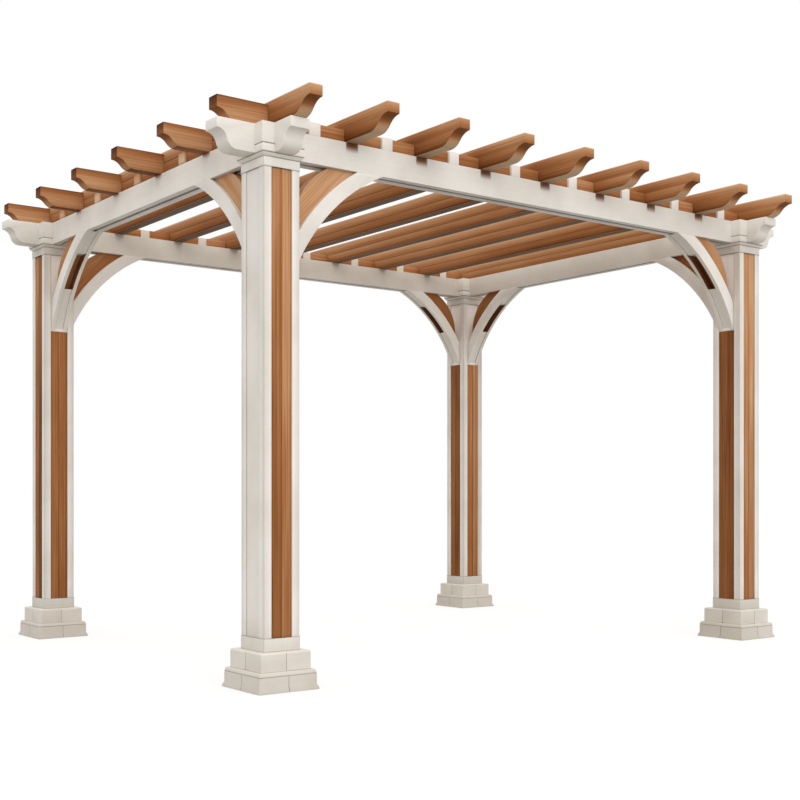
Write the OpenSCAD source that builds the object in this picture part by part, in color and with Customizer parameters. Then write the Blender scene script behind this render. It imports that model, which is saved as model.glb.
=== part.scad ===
// Free-standing timber pergola: four panelled posts on stepped plinths, box beams with
// ogee corbels, curved knee braces and a roof of ogee-tailed rafters.
// Front is -Y, left is -X, the ground is z = 0 and the origin is below the centre.

/* [Plan] */
// Distance between post centres, left to right
span_x = 3392; // [2800:8:4400]
// Distance between post centres, front to back
span_y = 2470; // [2000:5:3400]
// Height of the beams' underside above the ground
beam_bottom = 2390; // [2150:5:2800]

/* [Plinths] */
// Width of the lower plinth block
plinth_w = 304; // [280:1:360]
// How far the foot of the lower block flares out
plinth_flare = 8; // [2:1:16]
// Height at which the flare has run out
flare_h = 24; // [18:1:40]
// Height of the lower block, up to the joint line below its rim
plinth_h = 72; // [50:1:120]
// Height of the rim on top of the lower block
rim_h = 18; // [8:1:30]
// How far the rim leans in
rim_lean = 6; // [2:1:7]
// Width and depth of the joint lines in a plinth
plinth_joint = 2.5; // [1:0.5:4]
// Width of the upper plinth block
collar_w = 264; // [230:1:276]
// Height of the upper plinth block
collar_h = 85; // [60:1:140]
// Edge chamfer on top of the upper block
collar_chamfer = 5; // [2:1:10]

/* [Posts] */
// Width of a post across its corner trims
post_w = 190; // [160:1:220]
// How far the bands at head and foot stand out
band_proud = 2; // [1:0.5:5]
// Height of the band at the foot of a post
base_band_h = 60; // [30:1:100]
// Height of the band at the neck of a post
neck_band_h = 42; // [25:1:80]
// Width of the recess between two corner trims
recess_w = 108; // [80:1:120]
// Depth of the recess that holds a timber panel
recess_d = 12; // [9:0.5:20]
// Thickness of a timber panel
panel_t = 8; // [4:0.5:8.5]
// Clearance on each side of a timber panel
panel_gap = 0.3; // [0.1:0.1:1]
// Width of the groove between the two boards of a panel
panel_groove_w = 5; // [2:0.5:8]
// Depth of the groove between the two boards of a panel
panel_groove_d = 3; // [1:0.5:3.5]

/* [Capitals] */
// Height of the sloped moulding under a cap block
moulding_h = 20; // [12:1:40]
// Width of a cap block
block_w = 226; // [206:1:250]
// How far the moulding's upper edge stays inside the cap block
moulding_step = 3; // [1:1:8]
// Height of the joint line in a cap block above its underside
block_joint_z = 35; // [20:1:60]
// Width and depth of the joint lines in a capital
block_joint = 3; // [1:0.5:3.5]

/* [Beams] */
// Width of a beam, both plies together
beam_w = 100; // [86:1:110]
// Depth of a beam
beam_d = 130; // [100:1:180]
// Width of the groove between the plies, seen from below
beam_groove_w = 24; // [10:1:36]
// Depth of the groove between the plies
beam_groove_d = 22; // [8:1:50]
// Length of a corbel past the cap block, on the left and right
corbel_side = 195; // [100:1:240]
// Length of a corbel past the cap block, at the front and back
corbel_front = 130; // [100:1:200]
// Height of the upright face at a corbel's tip
corbel_tip = 46; // [30:1:70]
// Run of a corbel's ogee for each unit of its height
corbel_ogee = 1.25; // [1:0.05:1.5]

/* [Braces] */
// Reach of a brace along the beam and down the post
brace_reach = 515; // [420:1:600]
// Radius of a brace's lower edge
brace_radius = 1000; // [800:10:1400]
// Depth of a brace across its curve
brace_depth = 70; // [55:1:85]
// Thickness of each curved cheek
cheek_t = 24; // [18:1:32]
// Set-back of the filler blocks from the cheeks' lower edges
filler_setback = 6; // [2:1:15]
// Where the upper filler ends, below the beam
filler_top = 100; // [80:1:160]
// Where the lower filler begins, below the beam
filler_foot = 285; // [220:1:320]
// How far the timber arc runs in between the cheeks
arc_lap = 25; // [12:1:35]
// Radius of the timber arc's outer edge
arc_radius = 310; // [285:1:330]
// Distance of the timber arc's outer edge from the post
arc_offset = 22; // [10:1:35]
// Depth of the timber arc's centre below the beam
arc_drop = 285; // [265:1:300]
// Clearance between the timber arc and what holds it
arc_gap = 0.3; // [0.1:0.1:1]

/* [Roof] */
// Width of a rafter or tail
rafter_w = 70; // [50:1:90]
// Height of a rafter
rafter_h = 114; // [100:1:150]
// Reach of a rafter past the post centres
rafter_reach = 362; // [300:1:450]
// Height of the upright face at the tip of a rafter
rafter_tip = 50; // [30:1:60]
// Run of the ogee on rafters and tails for each unit of its height
rafter_ogee = 2.1; // [1:0.05:2.5]
// Number of short tails along each side beam
tail_count = 6; // [3:1:8]
// Height of a side tail
tail_h = 102; // [70:1:110]
// Reach of a side tail past the post centres
tail_reach = 300; // [200:1:400]
// Height of the upright face at the tip of a side tail
tail_tip = 55; // [25:1:60]
// Height of the blocking boards between the rafters
blocking_h = 60; // [40:1:80]
// Thickness of the blocking boards
blocking_t = 30; // [18:1:45]
// Width of a spacer block
spacer_w = 62; // [30:1:90]
// How far a painted spacer block stands out from the blocking
spacer_proud = 14; // [1:1:20]

/* [Hidden] */
$fn = 180;
paint = "#e6e2da";
timber = "#b87c4c";
cut = 1;
rafter_count = 9;

post_half = post_w / 2;
block_half = block_w / 2;
beam_half = beam_w / 2;
ledge_z = plinth_h + rim_h;
plinth_top = ledge_z + collar_h;
band_top = plinth_top + base_band_h;
capital_bottom = beam_bottom - moulding_h;
neck_bottom = capital_bottom - neck_band_h;
beam_top = beam_bottom + beam_d;
plain_recess_d = recess_d - panel_t;
foot_drop = 3 * plain_recess_d;
brace_foot = beam_bottom - brace_reach - foot_drop;
brace_outer = brace_radius + brace_depth;
brace_centre = (brace_reach + sqrt(2 * brace_radius * brace_radius - brace_reach * brace_reach)) / 2;
core_t = beam_w - 2 * cheek_t;
rafter_pitch = span_x / (rafter_count - 1);
tail_pitch = span_y / (tail_count - 1);
bay = rafter_pitch - rafter_w;

// Places one post's pieces: local +x and +y point along the beams, into the pergola
module at_post(side, end) {
  translate([side * span_x / 2, end * span_y / 2, 0])
    mirror([side > 0 ? 1 : 0, 0, 0])
      mirror([0, end > 0 ? 1 : 0, 0])
        children();
}

// Draws a child that runs along x once more along y
module along_both() {
  children();
  mirror([1, -1, 0]) children();
}

// A square block whose half width follows a list of [half width, height] steps
module stepped_square(steps) {
  last = len(steps) - 1;
  outline = concat(
    [for (s = steps) [s[0], s[1]]],
    [for (i = [last:-1:0]) [-steps[i][0], steps[i][1]]]
  );
  reach = 2 * max([for (s = steps) s[0]]);
  intersection() {
    rotate([90, 0, 0]) linear_extrude(reach + 2 * cut, center = true) polygon(outline);
    rotate([90, 0, 90]) linear_extrude(reach + 2 * cut, center = true) polygon(outline);
  }
}

// Side view of a member that ends in an ogee: root at x = 0, underside at y = 0.
// Two equal arcs, a belly and then a cove, climb from the underside to the tip.
module ogee_outline(length, height, tip, slope) {
  drop = height - tip;
  run = slope * drop;
  bend = 2 * atan(1 / slope);
  radius = run / (2 * sin(bend));
  belly_x = length - run;
  cove_x = length - run / 2;
  upper = height - drop / 2;
  intersection() {
    translate([0, -cut]) square([length + cut, height + 2 * cut]);
    union() {
      translate([-run, 0]) square([length, height]);
      intersection() {
        translate([belly_x, radius]) circle(radius);
        translate([belly_x, -cut]) square([run / 2, drop / 2 + 2 * cut]);
      }
      translate([belly_x, drop / 2]) square([run / 2, upper]);
      difference() {
        translate([cove_x, drop / 2 - cut]) square([run / 2, upper + cut]);
        translate([length, drop - radius]) circle(radius);
      }
    }
  }
}

// An ogee-ended member that runs along +x from the origin, resting on z = 0
module ogee_member(length, width, height, tip, slope) {
  rotate([90, 0, 0])
    linear_extrude(width, center = true)
      ogee_outline(length, height, tip, slope);
}

// Turns a child from the +x face to one of the four faces of a post
module on_face(turn) {
  rotate([0, 0, 90 * turn]) children();
}

// Upright joint line in the middle of a plinth's +x face
module plinth_seam(face_x, bottom, top) {
  translate([face_x - plinth_joint, -plinth_joint / 2, bottom])
    cube([plinth_w, plinth_joint, top - bottom]);
}

// Stepped plinth with a flared foot, a rim above a joint line and a seam in each face
module plinth() {
  low = plinth_w / 2;
  high = collar_w / 2;
  foot = low + plinth_flare;
  difference() {
    stepped_square([
      [foot, 0],
      [foot, plinth_flare],
      [low, flare_h],
      [low, plinth_h - plinth_joint],
      [low - plinth_joint, plinth_h],
      [low, plinth_h + plinth_joint],
      [low - rim_lean, ledge_z],
      [high, ledge_z],
      [high, plinth_top - collar_chamfer],
      [high - collar_chamfer, plinth_top]
    ]);
    for (turn = [0:3]) on_face(turn) {
      plinth_seam(low, plinth_flare / 2, plinth_h);
      plinth_seam(high, ledge_z, plinth_top + cut);
    }
  }
}

// Cuts one face of a post, on the +x side, between two heights
module face_cut(depth, low, high) {
  translate([post_half - depth, -recess_w / 2, low])
    cube([depth + band_proud + cut, recess_w, high - low]);
}

// Post with corner trims, recessed faces and bands at head and foot
module post(plain_side) {
  difference() {
    union() {
      translate([-post_half, -post_half, plinth_top])
        cube([post_w, post_w, capital_bottom - plinth_top]);
      for (band = [[plinth_top, base_band_h], [neck_bottom, neck_band_h]])
        translate([-post_half - band_proud, -post_half - band_proud, band[0]])
          cube([post_w + 2 * band_proud, post_w + 2 * band_proud, band[1]]);
    }
    for (turn = [0, 1]) on_face(turn) {
      face_cut(recess_d, band_top, brace_foot);
      face_cut(plain_recess_d, brace_foot - cut, neck_bottom);
    }
    on_face(2) face_cut(plain_side ? plain_recess_d : recess_d, band_top, neck_bottom);
    on_face(3) face_cut(recess_d, band_top, neck_bottom);
  }
}

// Two-board timber panel in the recess of the +x face
module panel(low, high) {
  half = recess_w / 2 - panel_gap;
  groove = panel_groove_w / 2;
  translate([post_half - recess_d, 0, low + panel_gap])
    linear_extrude(high - low - 2 * panel_gap)
      polygon([
        [0, -half], [panel_t, -half], [panel_t, -groove], [panel_t - panel_groove_d, 0],
        [panel_t, groove], [panel_t, half], [0, half]
      ]);
}

// All timber panels of one post; a plain side has a painted face instead
module panels(plain_side) {
  for (turn = [0, 1]) on_face(turn) panel(band_top, brace_foot);
  if (!plain_side) on_face(2) panel(band_top, neck_bottom);
  on_face(3) panel(band_top, neck_bottom);
}

// Sloped moulding between two joint lines, with the square cap block on top
module capital() {
  neck = post_half + band_proud;
  rim = block_half - moulding_step;
  groove_z = moulding_h + block_joint_z;
  translate([0, 0, capital_bottom])
    stepped_square([
      [neck - block_joint, 0],
      [neck - block_joint, block_joint],
      [neck, block_joint],
      [rim, moulding_h - 2 * block_joint],
      [rim, moulding_h - block_joint],
      [rim - block_joint, moulding_h - block_joint],
      [rim - block_joint, moulding_h],
      [block_half, moulding_h],
      [block_half, groove_z - block_joint],
      [block_half - block_joint, groove_z],
      [block_half, groove_z + block_joint],
      [block_half, moulding_h + beam_d]
    ]);
}

// Two-ply beam along x between two cap blocks, with a groove below
module beam(span) {
  length = span - block_w;
  translate([-length / 2, 0, beam_bottom])
    rotate([90, 0, 90])
      linear_extrude(length)
        polygon([
          [-beam_half, 0], [-beam_groove_w / 2, 0], [-beam_groove_w / 2, beam_groove_d],
          [beam_groove_w / 2, beam_groove_d], [beam_groove_w / 2, 0], [beam_half, 0],
          [beam_half, beam_d], [-beam_half, beam_d]
        ]);
}

// The two beam ends that run out past one cap block
module corbels() {
  translate([-block_half, 0, beam_bottom]) mirror([1, 0, 0])
    ogee_member(corbel_side, beam_w, beam_d, corbel_tip, corbel_ogee);
  translate([0, -block_half, beam_bottom]) rotate([0, 0, -90])
    ogee_member(corbel_front, beam_w, beam_d, corbel_tip, corbel_ogee);
}

// Stands a side view upright: x runs out from the post face, y is height from the beam
module brace_plate(thickness) {
  translate([post_half, 0, beam_bottom])
    rotate([90, 0, 0])
      linear_extrude(thickness, center = true)
        children();
}

// The corner that a brace may fill: right of the post's plain recess, under the beam
module brace_field(top, bottom) {
  translate([-plain_recess_d, -bottom])
    square([brace_centre, bottom - top]);
}

// Part of a ring about the brace's centre
module brace_ring(inner, outer, top, bottom) {
  intersection() {
    translate([brace_centre, -brace_centre]) difference() {
      circle(outer);
      circle(inner);
    }
    brace_field(top, bottom);
  }
}

// One curved brace: two cheeks joined by filler blocks at head and foot
module brace() {
  low_end = brace_reach + foot_drop;
  filler_outer = brace_outer - arc_lap - arc_gap;
  filler_inner = brace_radius + filler_setback;
  for (side = [-1, 1])
    translate([0, side * (core_t + cheek_t) / 2, 0])
      brace_plate(cheek_t) brace_ring(brace_radius, brace_outer, 0, low_end);
  brace_plate(core_t) {
    brace_ring(filler_inner, filler_outer, 0, filler_top);
    brace_ring(filler_inner, filler_outer, filler_foot, low_end);
  }
}

// Timber arc held between the cheeks, bowed out towards the corner
module arc() {
  brace_plate(core_t - 2 * arc_gap)
    difference() {
      intersection() {
        union() {
          translate([arc_offset + arc_radius, -arc_drop]) circle(arc_radius);
          translate([arc_offset, -brace_reach]) square([arc_radius, brace_reach - arc_drop]);
        }
        translate([arc_offset - cut, -brace_reach]) square([brace_reach, brace_reach]);
      }
      translate([brace_centre, -brace_centre]) circle(brace_outer - arc_lap);
    }
}

// Rafter along y with an ogee tail at both ends, centred at a distance x
module rafter(index) {
  length = span_y / 2 + rafter_reach;
  translate([(index - 1) * rafter_pitch - span_x / 2, 0, beam_top])
    for (turn = [-90, 90])
      rotate([0, 0, turn])
        ogee_member(length, rafter_w, rafter_h, rafter_tip, rafter_ogee);
}

// Short tails that butt against the outer face of the first or last rafter,
// with a timber spacer block on the beam's ledge in the middle of each bay
module tails(side) {
  ledge = beam_half - rafter_w / 2;
  translate([side * (span_x + rafter_w) / 2, 0, beam_top])
    mirror([side < 0 ? 1 : 0, 0, 0]) {
      for (i = [0:tail_count - 1])
        translate([0, i * tail_pitch - span_y / 2, 0])
          ogee_member(tail_reach - rafter_w / 2, rafter_w, tail_h, tail_tip, rafter_ogee);
      for (i = [0:tail_count - 2])
        translate([0, (i + 0.5) * tail_pitch - span_y / 2 - spacer_w / 2, 0])
          cube([ledge, spacer_w, blocking_h]);
    }
}

// Boards on a beam between the rafters, on both sides of each spacer block
module blocking(end) {
  board = (bay - spacer_w) / 2;
  outer = end * (span_y / 2 + beam_half - spacer_proud - blocking_t / 2);
  for (i = [0:rafter_count - 2], side = [-1, 1])
    translate([(i + 0.5) * rafter_pitch - span_x / 2 + side * (spacer_w + board) / 2, outer, beam_top])
      translate([-board / 2, -blocking_t / 2, 0])
        cube([board, blocking_t, blocking_h]);
}

// Painted blocks in the middle of every bay on the front and back beams
module spacers() {
  depth = blocking_t + spacer_proud;
  for (end = [-1, 1], i = [0:rafter_count - 2])
    translate([(i + 0.5) * rafter_pitch - span_x / 2, end * (span_y / 2 + beam_half - depth / 2), beam_top])
      translate([-spacer_w / 2, -depth / 2, 0])
        cube([spacer_w, depth, blocking_h]);
}

module front_left_plinth() { color(paint) at_post(-1, -1) plinth(); }
module front_right_plinth() { color(paint) at_post(1, -1) plinth(); }
module back_left_plinth() { color(paint) at_post(-1, 1) plinth(); }
module back_right_plinth() { color(paint) at_post(1, 1) plinth(); }
module front_left_post() { color(paint) at_post(-1, -1) post(true); }
module front_right_post() { color(paint) at_post(1, -1) post(false); }
module back_left_post() { color(paint) at_post(-1, 1) post(false); }
module back_right_post() { color(paint) at_post(1, 1) post(false); }
module front_left_panels() { color(timber) at_post(-1, -1) panels(true); }
module front_right_panels() { color(timber) at_post(1, -1) panels(false); }
module back_left_panels() { color(timber) at_post(-1, 1) panels(false); }
module back_right_panels() { color(timber) at_post(1, 1) panels(false); }
module front_left_capital() { color(paint) at_post(-1, -1) capital(); }
module front_right_capital() { color(paint) at_post(1, -1) capital(); }
module back_left_capital() { color(paint) at_post(-1, 1) capital(); }
module back_right_capital() { color(paint) at_post(1, 1) capital(); }
module front_beam() { color(paint) translate([0, -span_y / 2, 0]) beam(span_x); }
module back_beam() { color(paint) translate([0, span_y / 2, 0]) beam(span_x); }
module left_beam() { color(paint) translate([-span_x / 2, 0, 0]) rotate([0, 0, 90]) beam(span_y); }
module right_beam() { color(paint) translate([span_x / 2, 0, 0]) rotate([0, 0, 90]) beam(span_y); }
module front_left_corbels() { color(paint) at_post(-1, -1) corbels(); }
module front_right_corbels() { color(paint) at_post(1, -1) corbels(); }
module back_left_corbels() { color(paint) at_post(-1, 1) corbels(); }
module back_right_corbels() { color(paint) at_post(1, 1) corbels(); }
module front_left_braces() { color(paint) at_post(-1, -1) along_both() brace(); }
module front_right_braces() { color(paint) at_post(1, -1) along_both() brace(); }
module back_left_braces() { color(paint) at_post(-1, 1) along_both() brace(); }
module back_right_braces() { color(paint) at_post(1, 1) along_both() brace(); }
module front_left_arcs() { color(timber) at_post(-1, -1) along_both() arc(); }
module front_right_arcs() { color(timber) at_post(1, -1) along_both() arc(); }
module back_left_arcs() { color(timber) at_post(-1, 1) along_both() arc(); }
module back_right_arcs() { color(timber) at_post(1, 1) along_both() arc(); }
module rafter_1() { color(timber) rafter(1); }
module rafter_2() { color(timber) rafter(2); }
module rafter_3() { color(timber) rafter(3); }
module rafter_4() { color(timber) rafter(4); }
module rafter_5() { color(timber) rafter(5); }
module rafter_6() { color(timber) rafter(6); }
module rafter_7() { color(timber) rafter(7); }
module rafter_8() { color(timber) rafter(8); }
module rafter_9() { color(timber) rafter(9); }
module left_tails() { color(timber) tails(-1); }
module right_tails() { color(timber) tails(1); }
module front_blocking() { color(timber) blocking(-1); }
module back_blocking() { color(timber) blocking(1); }
module spacer_blocks() { color(paint) spacers(); }

front_left_plinth();
front_right_plinth();
back_left_plinth();
back_right_plinth();
front_left_post();
front_right_post();
back_left_post();
back_right_post();
front_left_panels();
front_right_panels();
back_left_panels();
back_right_panels();
front_left_capital();
front_right_capital();
back_left_capital();
back_right_capital();
front_beam();
back_beam();
left_beam();
right_beam();
front_left_corbels();
front_right_corbels();
back_left_corbels();
back_right_corbels();
front_left_braces();
front_right_braces();
back_left_braces();
back_right_braces();
front_left_arcs();
front_right_arcs();
back_left_arcs();
back_right_arcs();
rafter_1();
rafter_2();
rafter_3();
rafter_4();
rafter_5();
rafter_6();
rafter_7();
rafter_8();
rafter_9();
left_tails();
right_tails();
front_blocking();
back_blocking();
spacer_blocks();
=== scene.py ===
# Pergola in off-white paint and oiled timber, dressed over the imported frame
import math
import random

import bmesh
import bpy
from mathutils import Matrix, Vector


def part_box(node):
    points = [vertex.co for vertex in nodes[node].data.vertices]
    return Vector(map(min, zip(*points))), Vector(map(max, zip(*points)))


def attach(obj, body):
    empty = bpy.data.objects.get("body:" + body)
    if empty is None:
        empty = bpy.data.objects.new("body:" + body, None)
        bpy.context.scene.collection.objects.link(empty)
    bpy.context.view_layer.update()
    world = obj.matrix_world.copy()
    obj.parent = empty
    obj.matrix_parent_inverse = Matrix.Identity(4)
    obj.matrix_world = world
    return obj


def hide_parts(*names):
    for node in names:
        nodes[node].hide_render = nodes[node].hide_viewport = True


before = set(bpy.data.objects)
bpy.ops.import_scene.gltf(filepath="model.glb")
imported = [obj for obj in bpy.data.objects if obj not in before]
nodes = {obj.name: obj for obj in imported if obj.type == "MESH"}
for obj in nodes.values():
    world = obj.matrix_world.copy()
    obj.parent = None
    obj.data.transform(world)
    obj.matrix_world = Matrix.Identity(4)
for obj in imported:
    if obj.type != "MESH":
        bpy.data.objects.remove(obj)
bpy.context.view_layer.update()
# Which way along X and Y each corner lies from the middle
corners = {
    "front_left": (-1, -1),
    "front_right": (1, -1),
    "back_left": (-1, 1),
    "back_right": (1, 1),
}
axisX = Vector((1, 0, 0))
axisY = Vector((0, 1, 0))
axisZ = Vector((0, 0, 1))
white = (1, 1, 1, 1)
print("frame loaded:", len(nodes), "nodes")

# The photograph's camera, level, with its framing as lens shift
photoView = {
    "imageSide": 800,
    "focalPixels": 1221.0,
    "straightAhead": (320.15, 491.65),  # pixel that the camera points at
    "position": (-4.695, -5.877, 0.886),
    "turn": 0.6144,  # radians from +Y towards +X
    "sensorWidth": 36.0,
    "clipEnd": 200.0,
}


def addCamera(view):
    data = bpy.data.cameras.new("photoCamera")
    side = view["imageSide"]
    data.sensor_width = view["sensorWidth"]
    data.lens = view["focalPixels"] * view["sensorWidth"] / side
    data.shift_x = (side / 2 - view["straightAhead"][0]) / side
    data.shift_y = (view["straightAhead"][1] - side / 2) / side
    data.clip_end = view["clipEnd"]
    camera = bpy.data.objects.new("photoCamera", data)
    camera.location = view["position"]
    camera.rotation_euler = (math.radians(90), 0, -view["turn"])
    bpy.context.scene.collection.objects.link(camera)
    bpy.context.scene.camera = camera


addCamera(photoView)
bpy.context.scene.view_settings.view_transform = "Standard"
print("camera placed")

# Small helpers for node trees; columns and rows only lay the nodes out
nodeSpacing = (220, 180)
halfway = 0.5  # middle of a noise, a shade ramp or a step


def linearColour(hexCode):
    channels = [int(hexCode[i:i + 2], 16) / 255 for i in (1, 3, 5)]
    linear = [c / 12.92 if c <= 0.04045 else ((c + 0.055) / 1.055) ** 2.4 for c in channels]
    return (*linear, 1.0)


def addNode(tree, kind, column, row, **settings):
    node = tree.nodes.new(kind)
    node.location = (nodeSpacing[0] * column, -nodeSpacing[1] * row)
    for name, value in settings.items():
        setattr(node, name, value)
    return node


def feed(tree, socket, value):
    if isinstance(value, (int, float, tuple)):
        socket.default_value = value
    else:
        tree.links.new(value, socket)


def mathNode(tree, operation, column, row, *values):
    node = addNode(tree, "ShaderNodeMath", column, row, operation=operation)
    for socket, value in zip(node.inputs, values):
        feed(tree, socket, value)
    return node.outputs[0]


def mapRange(tree, column, row, value, source, target, smooth=False):
    node = addNode(tree, "ShaderNodeMapRange", column, row)
    node.interpolation_type = "SMOOTHSTEP" if smooth else "LINEAR"
    tree.links.new(value, node.inputs["Value"])
    for name, number in zip(("From Min", "From Max", "To Min", "To Max"), (*source, *target)):
        node.inputs[name].default_value = number
    return node.outputs["Result"]


# The node's colour sockets come after those for numbers and vectors
def mixColour(tree, column, row, blend, factor, first, second):
    node = addNode(tree, "ShaderNodeMix", column, row, data_type="RGBA", blend_type=blend)
    for index, value in ((0, factor), (6, first), (7, second)):
        feed(tree, node.inputs[index], value)
    return node.outputs[2]


def scaleColour(tree, column, row, colour, value):
    node = addNode(tree, "ShaderNodeHueSaturation", column, row)
    tree.links.new(colour, node.inputs["Color"])
    tree.links.new(value, node.inputs["Value"])
    return node.outputs[0]


def mixShaders(tree, column, row, factor, first, second):
    node = addNode(tree, "ShaderNodeMixShader", column, row)
    for socket, value in zip(node.inputs, (factor, first, second)):
        tree.links.new(value, socket)
    return node.outputs[0]


def splitVector(tree, column, row, vector):
    node = addNode(tree, "ShaderNodeSeparateXYZ", column, row)
    tree.links.new(vector, node.inputs[0])
    return node.outputs


def attributeNode(tree, column, row, name):
    return addNode(
        tree, "ShaderNodeAttribute", column, row, attribute_name=name, attribute_type="GEOMETRY"
    )


def attributeValue(tree, column, row, name):
    return attributeNode(tree, column, row, name).outputs["Fac"]


def attributeVector(tree, column, row, name):
    return attributeNode(tree, column, row, name).outputs["Vector"]


def colourRamp(tree, column, row, value, stops):
    ramp = addNode(tree, "ShaderNodeValToRGB", column, row)
    elements = ramp.color_ramp.elements
    while len(elements) < len(stops):
        elements.new(halfway)
    for element, (position, colour) in zip(elements, stops):
        element.position = position
        element.color = colour
    tree.links.new(value, ramp.inputs["Fac"])
    return ramp.outputs["Color"]


# Stops run from -1 at one side of a board to 1 at the other
def shadeRamp(tree, column, row, share, stops):
    place = mapRange(tree, column - 1, row, share, (-1, 1), (0, 1))
    greys = [((position + 1) / 2, (level, level, level, 1)) for position, level in stops]
    return colourRamp(tree, column, row, place, greys)


def stretchedNoise(tree, column, row, place, stretch, detail, roughness=halfway):
    scaled = addNode(tree, "ShaderNodeVectorMath", column, row, operation="MULTIPLY")
    tree.links.new(place, scaled.inputs[0])
    scaled.inputs[1].default_value = stretch
    noise = addNode(tree, "ShaderNodeTexNoise", column + 1, row)
    noise.inputs["Scale"].default_value = 1
    noise.inputs["Detail"].default_value = detail
    noise.inputs["Roughness"].default_value = roughness
    tree.links.new(scaled.outputs[0], noise.inputs["Vector"])
    return noise.outputs["Fac"]


def addBump(tree, shader, height, bump):
    node = addNode(tree, "ShaderNodeBump", 9, 4)
    strength, distance = bump
    node.inputs["Strength"].default_value = strength
    node.inputs["Distance"].default_value = distance
    tree.links.new(height, node.inputs["Height"])
    tree.links.new(node.outputs[0], shader.inputs["Normal"])


def emptyTree(owner):
    owner.use_nodes = True
    owner.node_tree.nodes.clear()
    return owner.node_tree


def newMaterial(name):
    material = bpy.data.materials.new(name)
    tree = emptyTree(material)
    shader = addNode(tree, "ShaderNodeBsdfPrincipled", 10, 0)
    output = addNode(tree, "ShaderNodeOutputMaterial", 12, 0)
    tree.links.new(shader.outputs[0], output.inputs["Surface"])
    return material, tree, shader


def newGroup(name, columns, inputs, outputs):
    group = bpy.data.node_groups.new(name, "ShaderNodeTree")
    for socketName, kind in inputs:
        group.interface.new_socket(socketName, in_out="INPUT", socket_type=kind)
    for socketName, kind in outputs:
        group.interface.new_socket(socketName, in_out="OUTPUT", socket_type=kind)
    given = addNode(group, "NodeGroupInput", -2, 0)
    return group, given, addNode(group, "NodeGroupOutput", columns, 0)


# Stretches are cycles per metre along, across and through a board
grainFigure = {
    "wobble": (0.8, 6, 6),
    "cloud": (1.6, 14, 14),
    "streak": (1.1, 95, 95),
    "fibre": (7, 420, 420),
    "detail": 2,
    "streakDetail": 4,
    "streakRoughness": 0.6,
    "ringPower": 2.2,  # how suddenly a ring ends
    "cloudShare": 0.38,
    "streakShare": 0.5,
    "ringShare": 0.12,
    "fibreHeight": 0.6,
}
coatFigure = {
    "mottle": (3.5, 3.5, 3.5),
    "stroke": (2.5, 160, 160),
    "detail": 3,
}


# Growth rings, streaks and fibres of sawn wood; Place is metres along, across and through a board
def makeGrainGroup(values):
    group, given, result = newGroup(
        "woodGrain", 8,
        [
            ("Place", "NodeSocketVector"),
            ("Ring Spacing", "NodeSocketFloat"),
            ("Wander", "NodeSocketFloat"),
        ],
        [("Figure", "NodeSocketFloat"), ("Fibre", "NodeSocketFloat"), ("Height", "NodeSocketFloat")],
    )
    place = given.outputs["Place"]
    detail = values["detail"]
    wobble = stretchedNoise(group, 0, 0, place, values["wobble"], detail)
    wobble = mathNode(group, "SUBTRACT", 2, 1, wobble, halfway)
    wobble = mathNode(group, "MULTIPLY", 2, 0, wobble, given.outputs["Wander"])
    parts = splitVector(group, 0, 2, place)
    section = addNode(group, "ShaderNodeCombineXYZ", 1, 2)
    group.links.new(parts["Y"], section.inputs["Y"])
    group.links.new(parts["Z"], section.inputs["Z"])
    length = addNode(group, "ShaderNodeVectorMath", 2, 2, operation="LENGTH")
    group.links.new(section.outputs[0], length.inputs[0])
    radius = mathNode(group, "ADD", 3, 1, length.outputs["Value"], wobble)
    turn = mathNode(group, "DIVIDE", 4, 1, radius, given.outputs["Ring Spacing"])
    ring = mathNode(group, "FRACT", 4, 2, turn)
    ring = mathNode(group, "POWER", 5, 1, ring, values["ringPower"])
    cloud = stretchedNoise(group, 2, 3, place, values["cloud"], detail)
    streak = stretchedNoise(
        group, 2, 4, place, values["streak"], values["streakDetail"], values["streakRoughness"]
    )
    fibre = stretchedNoise(group, 2, 6, place, values["fibre"], detail)
    streakPart = mathNode(group, "MULTIPLY", 5, 3, streak, values["streakShare"])
    cloudPart = mathNode(group, "MULTIPLY", 5, 6, cloud, values["cloudShare"])
    ringPart = mathNode(group, "SUBTRACT", 5, 5, 1, ring)
    ringPart = mathNode(group, "MULTIPLY", 5, 4, ringPart, values["ringShare"])
    figure = mathNode(group, "ADD", 6, 4, streakPart, cloudPart)
    figure = mathNode(group, "ADD", 6, 3, figure, ringPart)
    height = mathNode(group, "MULTIPLY", 6, 6, fibre, values["fibreHeight"])
    height = mathNode(group, "ADD", 6, 5, height, ringPart)
    group.links.new(figure, result.inputs["Figure"])
    group.links.new(fibre, result.inputs["Fibre"])
    group.links.new(height, result.inputs["Height"])
    return group


# Slow change of tone over a large surface, with faint strokes along each member
def makeCoatGroup(values):
    group, given, result = newGroup(
        "coatTone", 4,
        [("Position", "NodeSocketVector"), ("Place", "NodeSocketVector")],
        [("Mottle", "NodeSocketFloat"), ("Stroke", "NodeSocketFloat")],
    )
    mottle = stretchedNoise(group, 0, 0, given.outputs["Position"], values["mottle"], values["detail"])
    stroke = stretchedNoise(group, 0, 2, given.outputs["Place"], values["stroke"], values["detail"])
    group.links.new(mottle, result.inputs["Mottle"])
    group.links.new(stroke, result.inputs["Stroke"])
    return group


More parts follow.
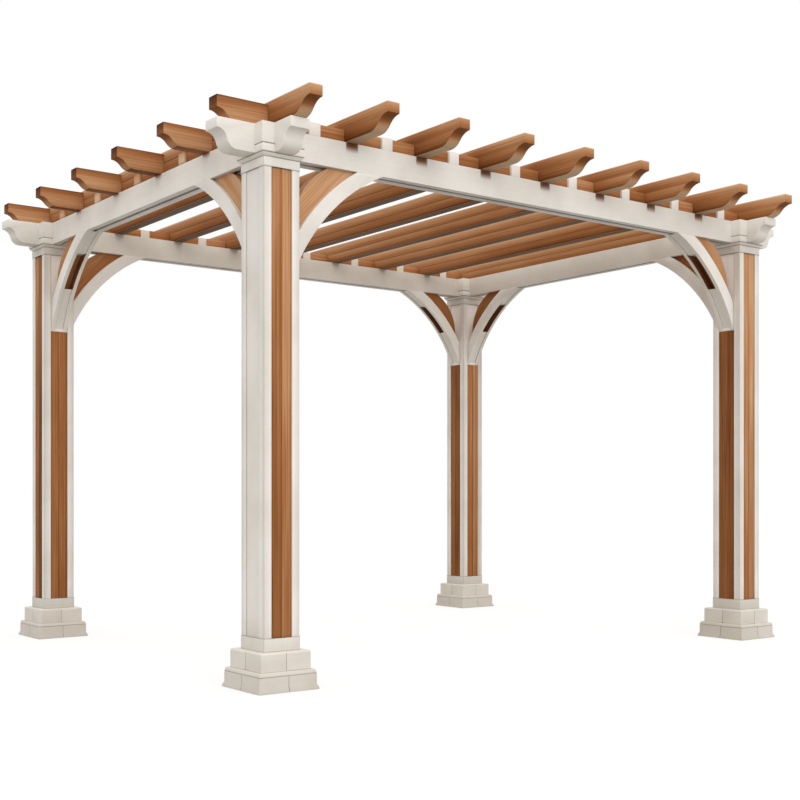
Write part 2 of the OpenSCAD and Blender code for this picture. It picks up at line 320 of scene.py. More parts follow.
# Pairs of shares count from -1 to 1 over a board's height, or from 0 in its middle to 1 at its ends
oiledFinish = {
    "colours": ["#3a1c09", "#75441f", "#aa6f43", "#cf9e73", "#edceae"],  # dark to light; the level that picks among them carries painted light and shade as well as grain and tone
    "greyed": "#8b755c",  # painted grey sheen on faces turned to the ground
    "pale": "#caae90",  # painted pale sheen on the underside of a timber's end outside the beam
    "toneSpread": 0.07,
    "ringSpacing": 0.012,
    "wander": 0.03,
    "endFigure": 0.25,  # share of the figure left on cut ends
    "sheltered": 0.3,  # how much darker the painted shade makes faces turned in or down
    "insideBeams": (0.7, 0.8),  # where a rafter's underside stops taking painted shade and grey sheen
    "glueWidth": (0.02, 0.09),  # fading of the line between two plies, up and down from it
    "ogeeRise": (-0.9, 0.1),  # where the curve of an end turns from painted light to painted shade
    "paleRise": (-1, -0.3),  # and where it leaves off its painted pale sheen
    "paleEnds": (0.78, 0.9),  # where the painted pale sheen under an end gains its full share
    "paleInner": 0.35,  # and its share before that
    "fibreRange": (0.3, 0.7),
    "fibreDark": 0.16,
    "figureRange": (0.3, 0.7),
    "roughness": (0.65, 0.5),  # of dark and of pale figure
    "specular": 0.06,
    "bump": (0.25, 0.001),
}
# How light each kind of timber is, by its share of the way along and across the board: painted light
# and shade, such as a rafter's dark bottom, its darker stretch at the front beam and its light top edge
timberShades = {
    # under is the share of painted grey sheen on undersides; ogee gives the painted light of a curved
    # end at its foot and its painted shade at its head
    "rafter": {
        "along": [
            (-1, 0.6), (-0.92, 0.55), (-0.84, 0.44), (-0.77, 0.37), (-0.68, 0.54), (0.7, 0.6), (1, 0.5),
        ],
        "across": [
            (-1, 0.2), (-0.65, 0.39), (-0.1, 0.52), (0.15, 0.46), (0.55, 0.58), (0.85, 0.66), (1, 0.82),
        ],
        "figure": 0.5,
        "glueLine": 0.2,
        "under": 0.55,
        "ogee": (0.8, 0.29),
        "ogeePale": 0.8,
    },
    "tails": {
        "along": [(-1, 0.52), (1, 0.5)],
        "across": [(-1, 0.58), (-0.5, 0.69), (0.2, 0.58), (0.75, 0.4), (1, 0.26)],
        "figure": 0.6,
        "glueLine": 0,
        "under": 0,
        "ogee": (0.65, 0.3),
        "ogeePale": 0.25,
    },
    "panels": {
        "along": [(-1, 0.485), (-0.6, 0.49), (0, 0.52), (0.6, 0.59), (1, 0.635)],
        "across": [
            (-1, 0.34), (-0.86, 0.52), (-0.07, 0.54), (0, 0.3), (0.07, 0.54), (0.86, 0.52), (1, 0.34),
        ],
        "figure": 0.85,
        "glueLine": 0,
        "under": 0,
    },
    "arcs": {
        "along": [(-1, 0.66), (1, 0.72)],
        "across": [(-1, 0.5), (1, 0.5)],
        "figure": 0.7,
        "glueLine": 0,
        "under": 0,
    },
    "blocking": {
        "along": [(-1, 0.5), (1, 0.5)],
        "across": [(-1, 0.4), (1, 0.55)],
        "figure": 0.8,
        "glueLine": 0,
        "under": 0.3,
    },
}


# Lightness of a board before its painted shade on turned-in faces: painted light and shade by its place
# in the board, its figure and its own tone
def boardLevel(tree, shades, finish, share, figure):
    along = shadeRamp(tree, 4, 4, share["X"], shades["along"])
    across = shadeRamp(tree, 4, 5, share["Y"], shades["across"])
    cutEnd = attributeValue(tree, 0, 7, "cutEnd")
    endFigure = shades["figure"] * finish["endFigure"]
    strength = mapRange(tree, 2, 1, cutEnd, (0, 1), (shades["figure"], endFigure))
    figure = mathNode(tree, "SUBTRACT", 2, 0, figure, halfway)
    figure = mathNode(tree, "MULTIPLY", 3, 0, figure, strength)
    level = mathNode(tree, "SUBTRACT", 5, 5, along, halfway)
    level = mathNode(tree, "ADD", 5, 4, level, across)
    level = mathNode(tree, "ADD", 6, 4, level, figure)
    tone = attributeValue(tree, 0, 2, "boardTone")
    tone = mathNode(tree, "MULTIPLY", 3, 2, tone, finish["toneSpread"])
    return mathNode(tree, "ADD", 6, 5, level, tone)


def makeOiledTimber(kind, shades, finish, grainGroup):
    material, tree, shader = newMaterial(kind + "Timber")
    share = splitVector(tree, 1, 4, attributeVector(tree, 0, 4, "boardShare"))
    shelter = attributeValue(tree, 0, 6, "shelter")
    grain = addNode(tree, "ShaderNodeGroup", 1, 0, node_tree=grainGroup)
    grain.inputs["Ring Spacing"].default_value = finish["ringSpacing"]
    grain.inputs["Wander"].default_value = finish["wander"]
    tree.links.new(attributeVector(tree, 0, 0, "grainPlace"), grain.inputs["Place"])
    level = boardLevel(tree, shades, finish, share, grain.outputs["Figure"])
    # Mask of painted shade and grey sheen; on a rafter, only inside the beams
    shadeAndSheenMask = shelter
    if shades["glueLine"]:
        fromMiddle = mathNode(tree, "ABSOLUTE", 2, 7, share["X"])
        inside = mapRange(tree, 3, 7, fromMiddle, finish["insideBeams"], (1, 0), True)
        shadeAndSheenMask = mathNode(tree, "MULTIPLY", 4, 8, shelter, inside)
        fromLine = mathNode(tree, "ABSOLUTE", 2, 6, share["Y"])
        line = mapRange(tree, 3, 6, fromLine, finish["glueWidth"], (shades["glueLine"], 0), True)
        line = mathNode(tree, "MULTIPLY", 4, 7, line, inside)
        level = mathNode(tree, "SUBTRACT", 7, 4, level, line)
    # Painted shade: faces turned in, and undersides, are darker
    darker = mathNode(tree, "MULTIPLY", 5, 8, shadeAndSheenMask, finish["sheltered"])
    level = mathNode(tree, "SUBTRACT", 6, 6, level, darker)
    # Painted light and shade on the curved ends: light at the foot, dark at the head
    if "ogee" in shades:
        ogee = attributeValue(tree, 0, 9, "ogee")
        curved = mapRange(tree, 3, 9, share["Y"], finish["ogeeRise"], shades["ogee"], True)
        change = mathNode(tree, "SUBTRACT", 4, 9, curved, level)
        change = mathNode(tree, "MULTIPLY", 5, 9, ogee, change)
        level = mathNode(tree, "ADD", 6, 9, level, change)
    last = len(finish["colours"]) - 1
    stops = [(step / last, linearColour(code)) for step, code in enumerate(finish["colours"])]
    colour = colourRamp(tree, 7, 0, level, stops)
    # Painted grey sheen on undersides
    if shades["under"]:
        greyed = mathNode(tree, "MULTIPLY", 7, 5, shadeAndSheenMask, shades["under"])
        colour = mixColour(tree, 7, 1, "MIX", greyed, colour, linearColour(finish["greyed"]))
    # Painted pale sheen low on the curved ends and under the ends outside the beams
    if "ogee" in shades:
        low = mapRange(tree, 3, 10, share["Y"], finish["paleRise"], (shades["ogeePale"], 0))
        low = mathNode(tree, "MULTIPLY", 4, 10, low, ogee)
        fromMiddle = mathNode(tree, "ABSOLUTE", 4, 11, share["X"])
        outer = mapRange(tree, 5, 11, fromMiddle, finish["paleEnds"], (finish["paleInner"], 1))
        outside = mathNode(tree, "SUBTRACT", 5, 10, shelter, shadeAndSheenMask)
        outside = mathNode(tree, "MULTIPLY", 6, 11, outside, outer)
        pale = mathNode(tree, "MAXIMUM", 6, 10, low, outside)
        colour = mixColour(tree, 7, 2, "MIX", pale, colour, linearColour(finish["pale"]))
    dark = 1 - finish["fibreDark"]
    fibre = mapRange(tree, 7, 3, grain.outputs["Fibre"], finish["fibreRange"], (dark, 1))
    tree.links.new(scaleColour(tree, 8, 0, colour, fibre), shader.inputs["Base Color"])
    rough = mapRange(tree, 8, 2, grain.outputs["Figure"], finish["figureRange"], finish["roughness"])
    tree.links.new(rough, shader.inputs["Roughness"])
    shader.inputs["Specular IOR Level"].default_value = finish["specular"]
    addBump(tree, shader, grain.outputs["Height"], finish["bump"])
    return material


# Where rafters and tails bear on the beams: first one, pitch, and half the width of a timber
rafterCount = sum(name.startswith("rafter_") for name in nodes)
tailCount = 6  # on each side
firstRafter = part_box("rafter_1")
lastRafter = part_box("rafter_" + str(rafterCount))
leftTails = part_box("left_tails")
bearingHalf = (firstRafter[1].x - firstRafter[0].x) / 2
rafterStart = firstRafter[0].x + bearingHalf
rafterPitch = (lastRafter[0].x - firstRafter[0].x) / (rafterCount - 1)
tailStart = leftTails[0].y + bearingHalf
tailPitch = (leftTails[1].y - leftTails[0].y - 2 * bearingHalf) / (tailCount - 1)
noBearingShadow = Vector((0.5, 1, 1))  # half a step off and far below
# the full painted shadow, for faces inside a brace's slot
fullBearingShadow = Vector((0, 0, 1))

paintFinish = {
    "base": "#ebe6de",
    "shade": "#d4cdc2",
    "shadeShare": 0.5,  # most of it that mottling mixes in
    "mottleRange": (0.35, 0.7),
    "strokeRange": (0.35, 0.65),
    "strokeDark": 0.03,
    "sheltered": "#e9e3db",  # painted shade: tint of faces turned in under the roof
    "splash": (0.0, 0.38),  # heights over which the paint goes from darker and warmer to its plain colour
    "splashShade": 0.8,
    "dust": "#fcf8f3",  # its tint
    "joint": "#8b7f71",  # painted shade in seams and inner corners
    "jointShare": 0.7,
    "stain": "#74441d",  # painted shadow under the timbers that bear on a beam
    "stainShare": 1.0,
    "stainDepth": (0.014, 0.052),
    "stainEdge": 0.005,
    "stainMottle": (0.3, 0.6),
    "stainUneven": 0.94,
    "sideStainLift": 0.026,  # the side beams' painted shadows are counted this much deeper, so they are fainter
    "roughRange": (0.3, 0.7),
    "roughness": (0.42, 0.55),
    "bump": (0.12, 0.001),
}


# Painted shadow, brown, under every timber that bears on a beam
def stainMask(tree, finish, mottle):
    bearing = splitVector(tree, 1, 5, attributeVector(tree, 0, 5, "bearing"))
    step = mathNode(tree, "ADD", 2, 6, bearing["X"], halfway)
    step = mathNode(tree, "FRACT", 2, 5, step)
    off = mathNode(tree, "SUBTRACT", 3, 6, step, halfway)
    off = mathNode(tree, "ABSOLUTE", 3, 5, off)
    off = mathNode(tree, "MULTIPLY", 4, 5, off, bearing["Z"])
    sides = (bearingHalf - finish["stainEdge"], bearingHalf + finish["stainEdge"])
    inside = mapRange(tree, 5, 5, off, sides, (1, 0), True)
    fade = mapRange(tree, 5, 6, bearing["Y"], finish["stainDepth"], (finish["stainShare"], 0), True)
    uneven = mapRange(tree, 5, 7, mottle, finish["stainMottle"], (finish["stainUneven"], 1))
    mask = mathNode(tree, "MULTIPLY", 6, 6, inside, fade)
    return mathNode(tree, "MULTIPLY", 6, 5, mask, uneven)


def makePaintedTimber(finish, coatGroup):
    material, tree, shader = newMaterial("paintedTimber")
    position = addNode(tree, "ShaderNodeTexCoord", 0, 0).outputs["Object"]
    height = splitVector(tree, 1, 3, position)["Z"]
    coat = addNode(tree, "ShaderNodeGroup", 1, 0, node_tree=coatGroup)
    tree.links.new(position, coat.inputs["Position"])
    tree.links.new(attributeVector(tree, 0, 2, "grainPlace"), coat.inputs["Place"])
    mottle = coat.outputs["Mottle"]
    share = mapRange(tree, 2, 0, mottle, finish["mottleRange"], (0, finish["shadeShare"]), True)
    base = linearColour(finish["base"])
    colour = mixColour(tree, 3, 0, "MIX", share, base, linearColour(finish["shade"]))
    # Painted shade: faces turned in under the roof take a darker tint
    shelter = attributeValue(tree, 0, 3, "shelter")
    colour = mixColour(tree, 4, 0, "MULTIPLY", shelter, colour, linearColour(finish["sheltered"]))
    # Painted shade in seams and inner corners
    joint = attributeValue(tree, 0, 6, "joint")
    joint = mathNode(tree, "MULTIPLY", 4, 4, joint, finish["jointShare"])
    colour = mixColour(tree, 5, 0, "MIX", joint, colour, linearColour(finish["joint"]))
    # Painted shadow under the timbers that bear on a beam, and in the braces' slots
    stain = stainMask(tree, finish, mottle)
    colour = mixColour(tree, 7, 0, "MIX", stain, colour, linearColour(finish["stain"]))
    # Darker and warmer towards the ground
    nearGround = mapRange(tree, 6, 3, height, finish["splash"], (1, 0), True)
    colour = mixColour(tree, 7, 1, "MULTIPLY", nearGround, colour, linearColour(finish["dust"]))
    dark = 1 - finish["strokeDark"]
    stroke = mapRange(tree, 2, 2, coat.outputs["Stroke"], finish["strokeRange"], (dark, 1))
    splash = mapRange(tree, 2, 3, height, finish["splash"], (finish["splashShade"], 1), True)
    value = mathNode(tree, "MULTIPLY", 4, 2, stroke, splash)
    # Painted light and shade: the coat shade of each corner
    value = mathNode(tree, "MULTIPLY", 5, 2, value, attributeValue(tree, 0, 7, "coatShade"))
    tree.links.new(scaleColour(tree, 8, 0, colour, value), shader.inputs["Base Color"])
    rough = mapRange(tree, 6, 2, mottle, finish["roughRange"], finish["roughness"])
    tree.links.new(rough, shader.inputs["Roughness"])
    addBump(tree, shader, coat.outputs["Stroke"], finish["bump"])
    return material


woodGrain = makeGrainGroup(grainFigure)
timbers = {
    kind: makeOiledTimber(kind, shades, oiledFinish, woodGrain)
    for kind, shades in timberShades.items()
}
paintedTimber = makePaintedTimber(paintFinish, makeCoatGroup(coatFigure))
print("finishes made")

# How each kind of member is cut and finished: the direction of its grain, how far its edges are
# eased, the coat's painted light and shade at foot and head, and what changes the tone of its faces
memberCuts = {
    "plinth": {
        "grain": "level", "ease": 0.0015, "finish": "paint",
        "shade": (0.98, 1.02), "shelter": 0.5, "seams": 0.6,
    },
    "post": {
        "grain": "upright", "ease": 0.002, "finish": "paint",
        # posts take a darker line along their eased corners instead of the painted highlight
        "shelter": 0.3, "seams": 0.6, "arrisShade": 0.72,
        "bandReach": 0.001,  # how far in from the outside the bands reach
        "sunkDepth": 0.004,  # and the corner trims; what is deeper is a sunk face
        "sunkShade": 1.16,  # painted light on the sunk faces beside a brace, which then lose their painted shade tint
        "trimSides": (0.054, 0.095),  # inner and outer side of a trim, from the post's middle
        # painted light beside the panel and painted shade at the arris
        "trimShades": (1.1, 0.88),
    },
    "capital": {"grain": "level", "ease": 0.0012, "finish": "paint"},
    "beam": {
        "grain": "level", "ease": 0.002, "finish": "paint",
        "shade": (1.09, 0.93), "underShade": 0.74, "grooveShade": 0.5, "shelter": 0.6,
        # painted light: these beams lighter or darker as a whole
        "lifts": {"left_beam": 1.06, "front_beam": 0.97},
    },
    "corbels": {"grain": "level", "ease": 0.002, "finish": "paint"},
    "braces": {
        "grain": "chord", "ease": 0.0015, "finish": "paint", "shade": (1.01, 1.04), "shelter": 0.3,
    },
    "spacer_blocks": {
        "grain": "upright", "ease": 0.0015, "finish": "paint", "shade": (1.05, 1.05), "shelter": 1,
    },
    "panels": {
        "grain": "upright", "ease": 0.0008, "finish": "oil",
        "shelter": 1,
        "farShelter": 0.3,  # share of it left on faces turned to the back or the right
        "boardTones": (-0.8, 1),  # of the two boards of a face
        "calm": 0.6,  # how far the painted shade mask evens the two out
        # side tones: each side's boards lighter or darker by how the side is lit, partly their own tone
        # and partly painted light and shade
        "sideTones": {
            ("back_left", "X"): -3.2, ("back_left", "Y"): 0.2,
            ("back_right", "X"): 0.1, ("back_right", "Y"): 2.2,
            ("front_right", "X"): -0.5,
        },
        "evenShare": 0.6,  # boards in painted shade have one tone all along, that of this share
        "evenGain": 1.4,  # how soon the painted shade mask does this
        "fadesLeft": {("back_right", "Y"): 0.7},  # sides that keep so much of the change along
    },
    "arcs": {"grain": "chord", "ease": 0.0015, "finish": "oil", "shelter": 1},
    # end tones: darker end grain, with painted shade on the cut ends as well, most on the tails
    "rafter": {"grain": "level", "ease": 0.0025, "finish": "oil", "topTone": -2.8, "endTone": -1.3},
    "tails": {
        "grain": "level", "ease": 0.0025, "finish": "oil", "topTone": 5, "endTone": -4.4,
        "spacerReach": 0.05,  # the solids shorter than this are spacer blocks
        "spacerTone": 3.6,
    },
    "blocking": {"grain": "level", "ease": 0.0015, "finish": "oil"},
}
easing = {
    "weld": 0.00002,
    "split": 0.000001,
    "seamWidth": 0.0045,  # faces narrower than this are seams or steps
    "corner": 0.003,  # width of the painted shade line in an inner corner
    "cornerFace": 0.009,  # narrowest face that takes such a line
    "flatAngle": math.radians(0.5),
    "sharpAngle": math.radians(28),
    "steps": 2,
    "profile": 0.5,
    "arrisShade": 1.1,  # painted highlight along eased edges
}
# How far a face's normal goes along an axis
turns = {
    "flat": 0.95,  # flat undersides
    "square": 0.9,  # tops and cut ends
    "steep": 0.5,  # between walls and undersides
    "hanging": 0.1,  # least for the curved undersides of timber ends
}
shadeMaskGain = 1.2  # how soon a face that turns in takes the full painted shade
undersideReach = 0.01  # height within which a timber's flat faces are its underside
beamGroove = {"half": 0.014, "from": 0.002, "to": 0.026}  # a little over the groove under a beam
braceSlot = {"foot": 0.285, "head": 0.1, "inner": 0.001}  # the open slot, below the beam
boardDraw = {"slide": 30, "heart": (0.05, 0.16), "depth": 0.12}  # where in its log a board is cut
boardRandom = random.Random(23)


def cutOf(nodeName):
    for kind, cut in memberCuts.items():
        if kind in nodeName:
            return kind, cut
    raise ValueError("no cut for " + nodeName)


def faceWidth(face):
    return face.calc_area() / max(edge.calc_length() for edge in face.edges)


def sharpEdges(shape, convex):
    return [
        edge for edge in shape.edges
        if edge.is_manifold and edge.is_convex == convex
        and edge.calc_face_angle() > easing["sharpAngle"]
    ]


def bevelEdges(shape, edges, width, steps):
    made = bmesh.ops.bevel(
        shape, geom=edges, offset=width, offset_type="OFFSET", segments=steps,
        profile=easing["profile"], affect="EDGES", clamp_overlap=False,
    )
    return made["faces"]


# Painted shade in the seams and steps of painted work, and a narrow line of it along each inner corner
def markJoints(shape, seamShadeLayer, seams):
    for face in shape.faces:
        face[seamShadeLayer] = seams if faceWidth(face) < easing["seamWidth"] else 0.0
    inner = [
        edge for edge in sharpEdges(shape, False)
        if min(faceWidth(face) for face in edge.link_faces) > easing["cornerFace"]
    ]
    if not inner:
        return
    for face in bevelEdges(shape, inner, easing["corner"], 1):
        face[seamShadeLayer] = seams


# Welded copy of a node with its outer edges eased
def easedShape(nodeName, cut, splitHeights):
    shape = bmesh.new()
    shape.from_mesh(nodes[nodeName].data)
    bmesh.ops.remove_doubles(shape, verts=shape.verts, dist=easing["weld"])
    bmesh.ops.dissolve_limit(
        shape, angle_limit=easing["flatAngle"], verts=shape.verts, edges=shape.edges
    )
    arrisLayer = shape.faces.layers.int.new("arris")
    seamShadeLayer = shape.faces.layers.float.new("joint")
    if cut["finish"] == "paint":
        markJoints(shape, seamShadeLayer, cut.get("seams", 1.0))
    for face in bevelEdges(shape, sharpEdges(shape, True), cut["ease"], easing["steps"]):
        face[arrisLayer] = 1
    for height in splitHeights:
        every = shape.verts[:] + shape.edges[:] + shape.faces[:]
        bmesh.ops.bisect_plane(
            shape, geom=every, plane_co=(0, 0, height), plane_no=axisZ, dist=easing["split"]
        )
    shape.faces.ensure_lookup_table()
    return shape


# Groups of faces that hang together, one for each solid of a node
def facesBySolid(shape):
    seen = set()
    solids = []
    for first in shape.faces:
        if first.index in seen:
            continue
        seen.add(first.index)
        group = [first]
        for face in group:
            for edge in face.edges:
                for other in edge.link_faces:
                    if other.index not in seen:
                        seen.add(other.index)
                        group.append(other)
        solids.append(group)
    return solids


def extentOf(faces):
    points = [vert.co for face in faces for vert in face.verts]
    low = Vector([min(p[i] for p in points) for i in range(3)])
    high = Vector([max(p[i] for p in points) for i in range(3)])
    return low, high


# Unit vectors along, across and through a board
def boardAxes(nodeName, grain, size):
    thin = axisX if size.x < size.y else axisY
    wide = axisY if size.x < size.y else axisX
    if grain == "upright":
        return axisZ, wide, thin
    if grain == "level":
        return wide, axisZ, thin
    side, end = next(place for corner, place in corners.items() if nodeName.startswith(corner))
    inward = -side if wide is axisX else -end
    along = (inward * wide + axisZ).normalized()
    return along, (axisZ - inward * wide).normalized(), thin


def drawBoard():
    offset = Vector((
        boardRandom.uniform(0, boardDraw["slide"]),
        boardRandom.choice((-1, 1)) * boardRandom.uniform(*boardDraw["heart"]),
        boardRandom.uniform(-boardDraw["depth"], boardDraw["depth"]),
    ))
    return offset, boardRandom.uniform(-1, 1)


# What the faces of one solid have in common
def measureBoard(nodeName, kind, cut, faces):
    low, high = extentOf(faces)
    size = high - low
    axes = boardAxes(nodeName, cut["grain"], size)
    return {
        "low": low,
        "high": high,
        "centre": (low + high) / 2,
        "axes": axes,
        "halves": [sum(abs(axis[i]) * size[i] for i in range(3)) / 2 for axis in axes],
        "plies": [drawBoard(), drawBoard()],
        "side": (nodeName.replace("_panels", ""), "X" if axes[2] is axisX else "Y"),
        "isSpacer": kind == "tails" and size.x < cut["spacerReach"],
    }


# Painted shade mask: how far a face of a post, beam or brace turns in to the middle, or a roof timber's
# to the ground
def shelterOf(kind, cut, normal, middle, rise):
    if kind in ("rafter", "tails", "blocking"):
        return 1.0 if normal.z < -turns["flat"] and rise < undersideReach else 0.0
    inward = -Vector((middle.x, middle.y, 0)).normalized()
    far = cut.get("farShelter", 1) if normal.x + normal.y > 0 else 1
    return far * cut.get("shelter", 0) * min(1.0, max(0.0, shadeMaskGain * normal.dot(inward)))


# Panels and rafters have two boards to a solid
def plyOf(kind, board, away):
    if kind == "panels":
        return 1 if away.dot(board["axes"][1]) > 0 else 0
    if kind == "rafter":
        return 1 if away.z > 0 else 0
    return 0


def toneOf(kind, cut, board, ply, normal, shelter):
    tone = board["plies"][ply][1]
    if kind == "panels":
        tone += cut["boardTones"][ply]
        tone = tone * (1 - cut["calm"] * shelter) + cut["sideTones"].get(board["side"], 0)
    if board["isSpacer"]:
        return tone + cut["spacerTone"]
    # Cut ends are darker: end grain, and painted shade
    if abs(normal.dot(board["axes"][0])) > turns["square"]:
        tone += cut.get("endTone", 0)
    if normal.z > turns["square"]:
        tone += cut.get("topTone", 0)
    return tone


# Painted shade: paint is darker on undersides, and darkest in a groove up the middle of one
def underShadeOf(cut, board, normal, away, rise):
    inGroove = (
        abs(away.dot(board["axes"][2])) < beamGroove["half"]
        and beamGroove["from"] < rise < beamGroove["to"]
    )
    if "grooveShade" in cut and inGroove:
        return cut["grooveShade"]
    return cut.get("underShade", 1) if normal.z < -turns["steep"] else 1


# Painted light and shade: trims darken from the panel out to the post's arris
def trimShade(cut, fromMiddle):
    inner, outer = cut["trimSides"]
    beside, atArris = cut["trimShades"]
    return beside + (atArris - beside) * (fromMiddle - inner) / (outer - inner)


# Faces inside a brace's slot, turned to the slot's middle; they take the full painted shadow
def liesInSlot(board, normal, middle, top):
    through = board["axes"][2]
    turnedIn = (middle - board["centre"]).dot(through) * normal.dot(through) < -braceSlot["inner"]
    return turnedIn and top - braceSlot["foot"] < middle.z < top - braceSlot["head"]


# Where the painted shadow under a bearing timber falls: steps from the first bearing timber, depth
# below the beam's top, and pitch
def bearingAt(nodeName, kind, normal, point, top):
    if kind != "beam" or abs(normal.z) > turns["steep"]:
        return noBearingShadow
    if nodeName in ("front_beam", "back_beam"):
        if normal.y * point.y < 0:
            return noBearingShadow
        return Vector(((point.x - rafterStart) / rafterPitch, top - point.z, rafterPitch))
    if normal.x * point.x < 0:
        return noBearingShadow
    depth = top - point.z + paintFinish["sideStainLift"]
    return Vector(((point.y - tailStart) / tailPitch, depth, tailPitch))


# Attributes that the finishes read
def addLayers(shape):
    loopLayers = shape.loops.layers
    faceLayers = shape.faces.layers
    layers = {}
    for name in ("grainPlace", "boardShare", "bearing"):
        layers[name] = loopLayers.float_vector.new(name)
    for name in ("shelter", "boardTone", "cutEnd", "ogee"):
        layers[name] = faceLayers.float.new(name)
    layers["coatShade"] = loopLayers.float.new("coatShade")
    layers["arris"] = faceLayers.int["arris"]
    return layers


def dressFace(nodeName, kind, cut, board, layers, face, top):
    normal = face.normal
    middle = face.calc_center_median()
    centre = board["centre"]
    away = middle - centre
    rise = middle.z - board["low"].z
    along = board["axes"][0]
    through = board["axes"][2]
    ply = plyOf(kind, board, away)
    shelter = shelterOf(kind, cut, normal, middle, rise)
    # painted light and shade: the beam's own lift, its underside and its groove
    coat = cut.get("lifts", {}).get(nodeName, 1) * underShadeOf(cut, board, normal, away, rise)
    # painted highlight along eased edges; posts darker there
    if face[layers["arris"]]:
        coat *= cut.get("arrisShade", easing["arrisShade"])
    onTrim = False
    if kind == "post":
        inset = board["halves"][2] - away.dot(normal)
        onTrim = abs(normal.z) < turns["steep"] and cut["bandReach"] < inset < cut["sunkDepth"]
        # Painted light on sunk faces beside a brace, in place of their painted shade tint
        if shelter > 0 and cut["sunkDepth"] < inset < board["halves"][2] / 2:
            coat *= cut["sunkShade"]
            shelter = 0
    even = 0
    if kind == "panels":
        fadeLeft = cut["fadesLeft"].get(board["side"], 0)
        even = (1 - fadeLeft) * min(1.0, cut["evenGain"] * shelter)
    inSlot = kind == "braces" and liesInSlot(board, normal, middle, top)
    hanging = normal.z < -turns["hanging"] and abs(normal.dot(through)) < turns["steep"]
    face[layers["shelter"]] = shelter
    face[layers["boardTone"]] = toneOf(kind, cut, board, ply, normal, shelter)
    face[layers["cutEnd"]] = abs(normal.dot(along))
    face[layers["ogee"]] = 1.0 if hanging and shelter == 0 else 0.0
    face.smooth = True
    foot, head = cut.get("shade", (1, 1))
    for loop in face.loops:
        point = loop.vert.co
        place = [(point - centre).dot(axis) for axis in board["axes"]]
        shares = [part / half for part, half in zip(place, board["halves"])]
        shares[0] += even * (cut.get("evenShare", 0) - shares[0])
        height = (point.z - board["low"].z) / (board["high"].z - board["low"].z)
        shade = coat * (foot + (head - foot) * height)
        if onTrim:
            shade *= trimShade(cut, abs((point - centre).dot(axisZ.cross(normal))))
        # painted shadow: full inside a brace's slot, and under bearing timbers on a beam's outer faces
        bearing = fullBearingShadow if inSlot else bearingAt(nodeName, kind, normal, point, top)
        loop[layers["grainPlace"]] = board["plies"][ply][0] + Vector(place)
        loop[layers["boardShare"]] = shares
        loop[layers["bearing"]] = bearing
        loop[layers["coatShade"]] = shade


# One finished piece for each node, cut between the plies of a rafter and at the ends of a slot
def dressNode(nodeName):
    kind, cut = cutOf(nodeName)
    low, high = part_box(nodeName)
    splitHeights = []
    if kind == "rafter":
        splitHeights = [(low.z + high.z) / 2]
    if kind == "braces":
        splitHeights = [high.z - braceSlot["foot"], high.z - braceSlot["head"]]
    shape = easedShape(nodeName, cut, splitHeights)
    layers = addLayers(shape)
    for faces in facesBySolid(shape):
        board = measureBoard(nodeName, kind, cut, faces)
        for face in faces:
            dressFace(nodeName, kind, cut, board, layers, face, high.z)
    mesh = bpy.data.meshes.new(nodeName + "_eased")
    shape.to_mesh(mesh)
    shape.free()
    mesh.set_sharp_from_angle(angle=easing["sharpAngle"])
    mesh.materials.append(paintedTimber if cut["finish"] == "paint" else timbers[kind])
    piece = bpy.data.objects.new(nodeName + "_eased", mesh)
    bpy.context.scene.collection.objects.link(piece)
    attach(piece, "root")
    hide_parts(nodeName)


for nodeName in sorted(nodes):
    dressNode(nodeName)
print("members dressed")

# Pale floor and white surroundings
stage = {
    "floorSide": 120,
    "floorSeen": "#f6f5f3",
    "floorBounce": "#a4a09b",  # what the floor gives back to the object
    "glowNear": 0.7,  # share of the floor's white that shadows don't reach
    "glowReach": (3.2, 8.0),  # from where to where it grows to all of it
    "ambient": 1.12,
}


# One where the stage is looked at, straight or through gloss and glass
def seenShare(tree):
    paths = addNode(tree, "ShaderNodeLightPath", 0, 2).outputs
    seen = mathNode(tree, "MAXIMUM", 1, 2, paths["Is Camera Ray"], paths["Is Glossy Ray"])
    return mathNode(tree, "MAXIMUM", 2, 2, seen, paths["Is Transmission Ray"])


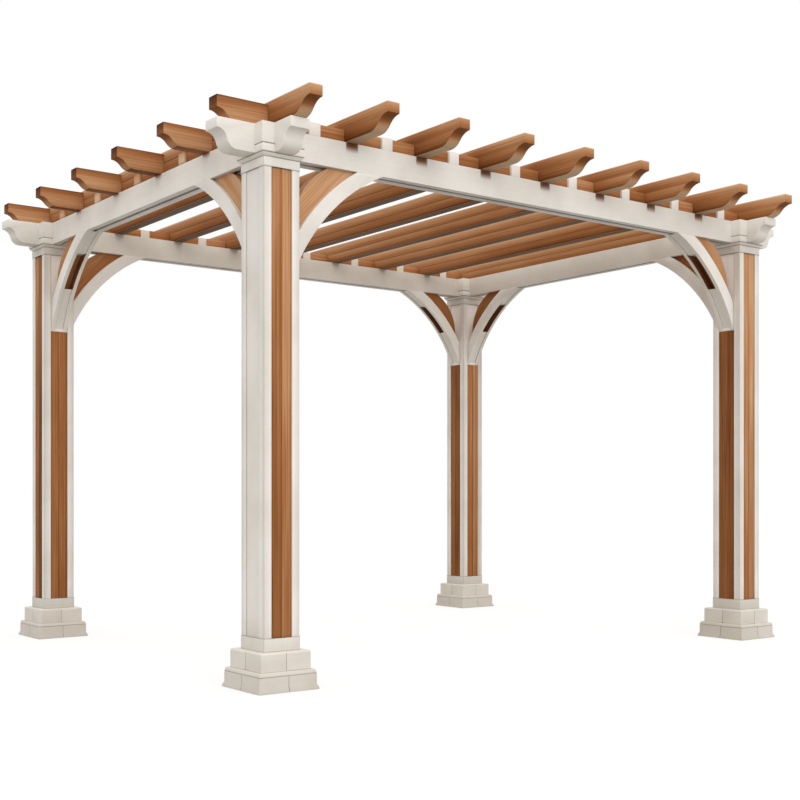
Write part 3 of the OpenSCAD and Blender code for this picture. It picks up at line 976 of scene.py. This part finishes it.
def addFloor(values):
    bpy.ops.mesh.primitive_plane_add(size=values["floorSide"], location=(0, 0, 0))
    floor = bpy.context.object
    floor.name = "floor"
    material = bpy.data.materials.new("paleFloor")
    tree = emptyTree(material)
    output = addNode(tree, "ShaderNodeOutputMaterial", 7, 0)
    seen = seenShare(tree)
    bounce = linearColour(values["floorBounce"])
    colour = mixColour(tree, 3, 0, "MIX", seen, bounce, linearColour(values["floorSeen"]))
    diffuse = addNode(tree, "ShaderNodeBsdfDiffuse", 4, 0)
    tree.links.new(colour, diffuse.inputs["Color"])
    glow = addNode(tree, "ShaderNodeEmission", 4, 1)
    glow.inputs["Color"].default_value = white
    position = addNode(tree, "ShaderNodeTexCoord", 0, 4)
    away = addNode(tree, "ShaderNodeVectorMath", 1, 4, operation="LENGTH")
    tree.links.new(position.outputs["Object"], away.inputs[0])
    near = values["glowNear"]
    spread = mapRange(tree, 2, 4, away.outputs["Value"], values["glowReach"], (near, 1), True)
    share = mathNode(tree, "MULTIPLY", 4, 3, seen, spread)
    surface = mixShaders(tree, 6, 0, share, diffuse.outputs[0], glow.outputs[0])
    tree.links.new(surface, output.inputs["Surface"])
    floor.data.materials.append(material)


def addBackground(tree, row, strength):
    node = addNode(tree, "ShaderNodeBackground", 2, row)
    node.inputs["Color"].default_value = white
    node.inputs["Strength"].default_value = strength
    return node.outputs[0]


def setWorld(values):
    world = bpy.data.worlds.new("studioWorld")
    bpy.context.scene.world = world
    tree = emptyTree(world)
    output = addNode(tree, "ShaderNodeOutputWorld", 5, 0)
    lighting = addBackground(tree, 0, values["ambient"])
    shown = addBackground(tree, 1, 1)
    surface = mixShaders(tree, 4, 0, seenShare(tree), lighting, shown)
    tree.links.new(surface, output.inputs["Surface"])


# Soft boxes: place, what they face, side in metres, power in watts
softBoxes = {
    "keyBox": {"place": (-4.0, -16.0, 4.8), "aim": (0, 0, 1.3), "side": 9, "power": 540},
    "roofBox": {"place": (0, -1.0, 9.0), "aim": (0, 0, 0), "side": 8, "power": 150},
}


def addSoftBox(name, values):
    light = bpy.data.lights.new(name, "AREA")
    light.shape = "SQUARE"
    light.size = values["side"]
    light.energy = values["power"]
    lamp = bpy.data.objects.new(name, light)
    lamp.location = values["place"]
    facing = Vector(values["aim"]) - Vector(values["place"])
    lamp.rotation_mode = "QUATERNION"
    lamp.rotation_quaternion = facing.to_track_quat("-Z", "Y")
    lamp.visible_camera = False
    bpy.context.scene.collection.objects.link(lamp)


addFloor(stage)
setWorld(stage)
for name, values in softBoxes.items():
    addSoftBox(name, values)
print("studio lit")
